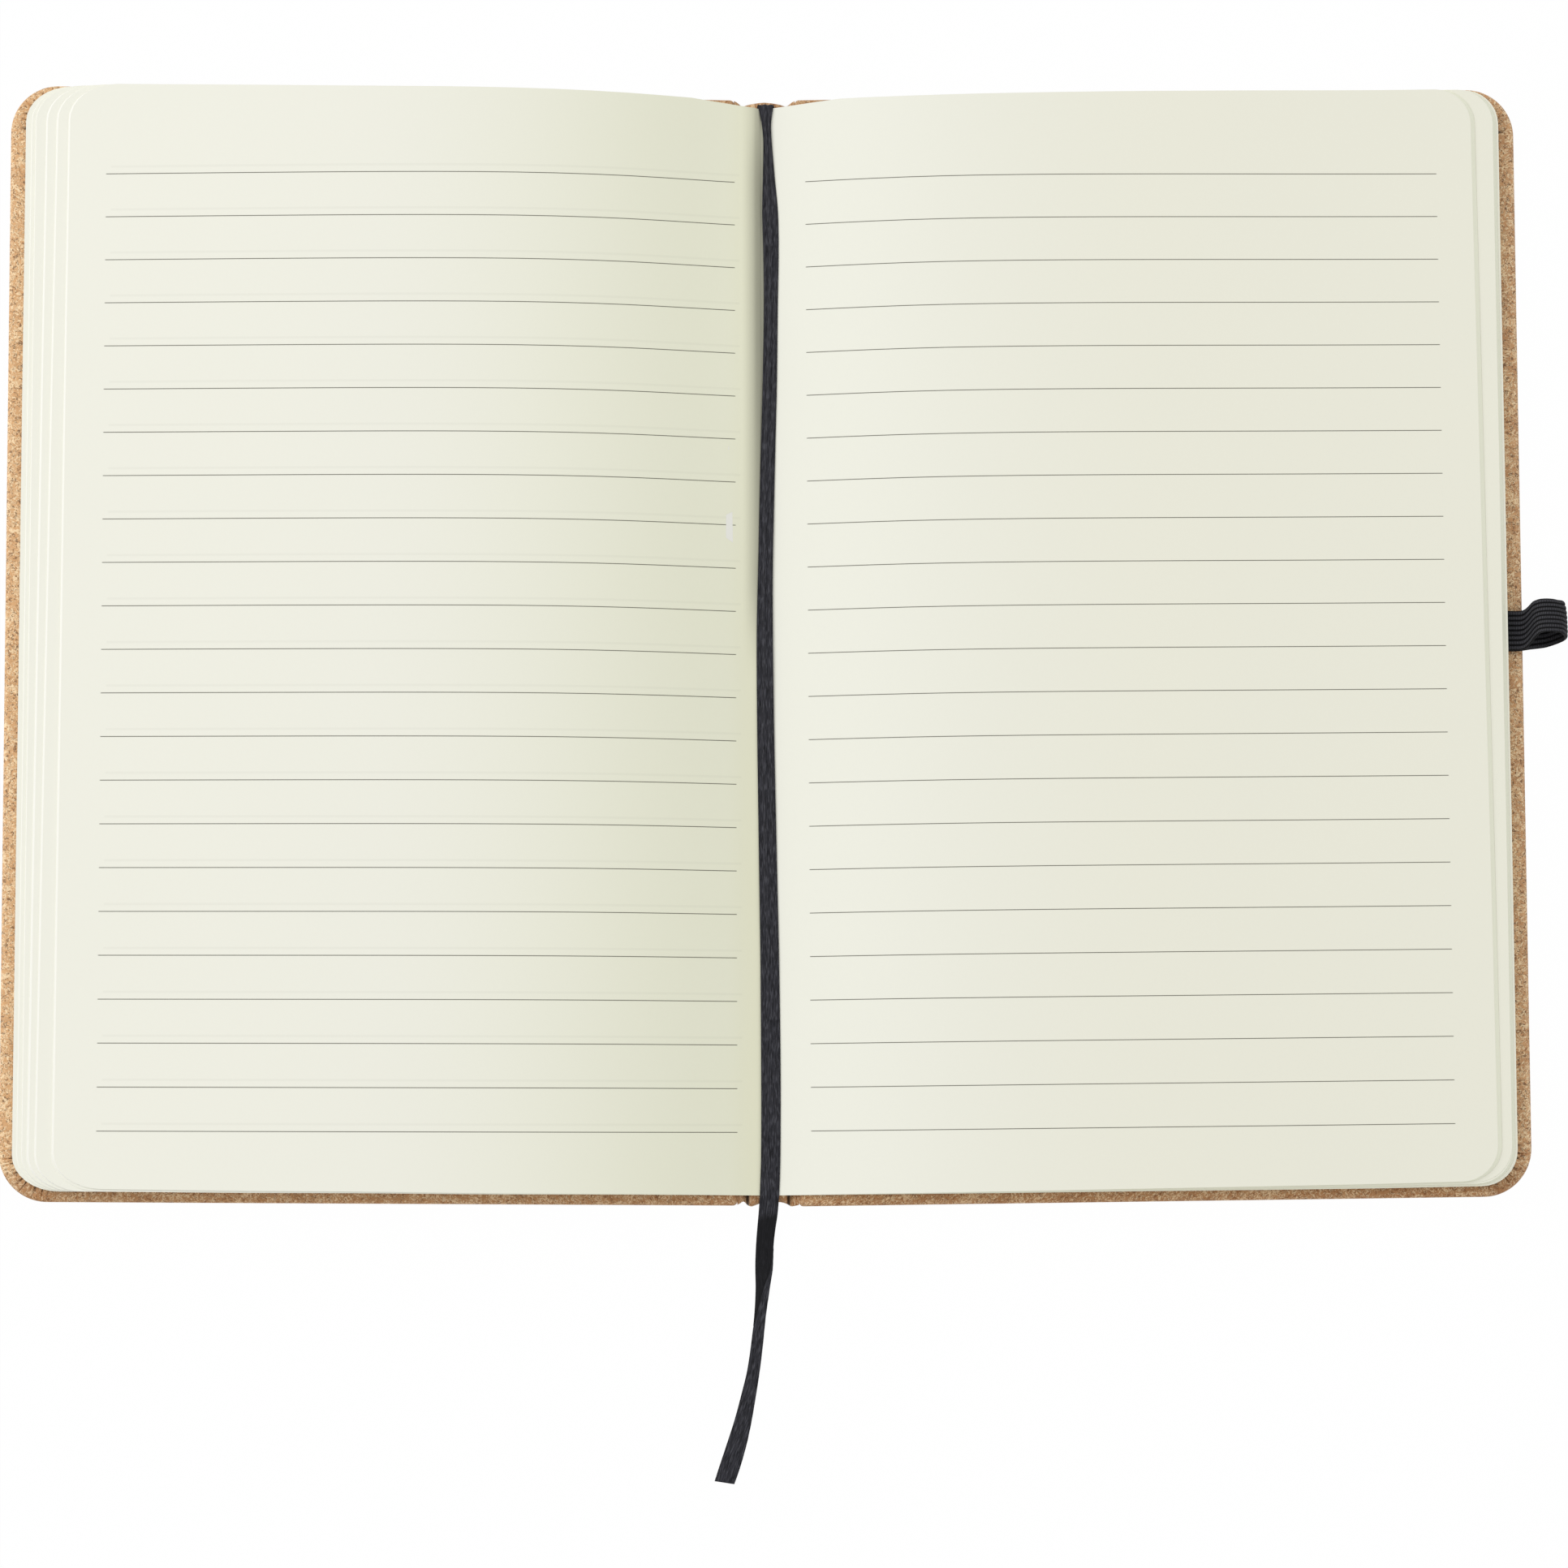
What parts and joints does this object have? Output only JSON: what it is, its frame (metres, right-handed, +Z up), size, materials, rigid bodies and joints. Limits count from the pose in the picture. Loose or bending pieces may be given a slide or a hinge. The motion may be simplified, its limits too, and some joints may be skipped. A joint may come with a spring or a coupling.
{
  "type": "open hardcover notebook",
  "caption": "Hardcover ruled notebook lying open at its middle, with curved fanned pages, hinged covers, ribbon marker and elastic pen loop.",
  "frame": {"origin": "middle of the spine's outer face, where it lies on the table, half way between tail and head", "axes": "+X towards the back cover and the pen loop, across the open notebook; +Y towards the head of the pages; +Z up out of the table"},
  "size_m": [0.3013, 0.2684, 0.0146],
  "materials": {
    "page_paper": "uncoated cream paper with thin grey ruled lines",
    "end_paper": "uncoated cream paper",
    "grey_board": "plain grey binder's board",
    "bonded_leather": "mottled tan bonded leather, satin",
    "lining_cloth": "open binding cloth",
    "black_satin": "woven satin ribbon",
    "black_elastic": "ribbed woven elastic"
  },
  "bodies": {
    "spine": {"pages": "page_paper", "spine_strip": "grey_board", "spine_covering": "bonded_leather", "spine_lining": "lining_cloth", "ribbon_marker": "black_satin"},
    "front_cover": {"front_board": "grey_board", "front_covering": "bonded_leather", "front_endpaper": "end_paper"},
    "back_cover": {"back_board": "grey_board", "back_covering": "bonded_leather", "back_endpaper": "end_paper", "pen_loop": "black_elastic"}
  },
  "joints": [
    {"name": "front_cover_hinge", "type": "hinge", "parent": "spine", "child": "front_cover", "pos_m": [-0.00565, 0, 0.0016], "axis": [0, 1, 0], "range_deg": [0, 90], "deforming": ["pages"]},
    {"name": "back_cover_hinge", "type": "hinge", "parent": "spine", "child": "back_cover", "pos_m": [0.00565, 0, 0.0016], "axis": [0, -1, 0], "range_deg": [0, 90], "deforming": ["pages"]}
  ]
}
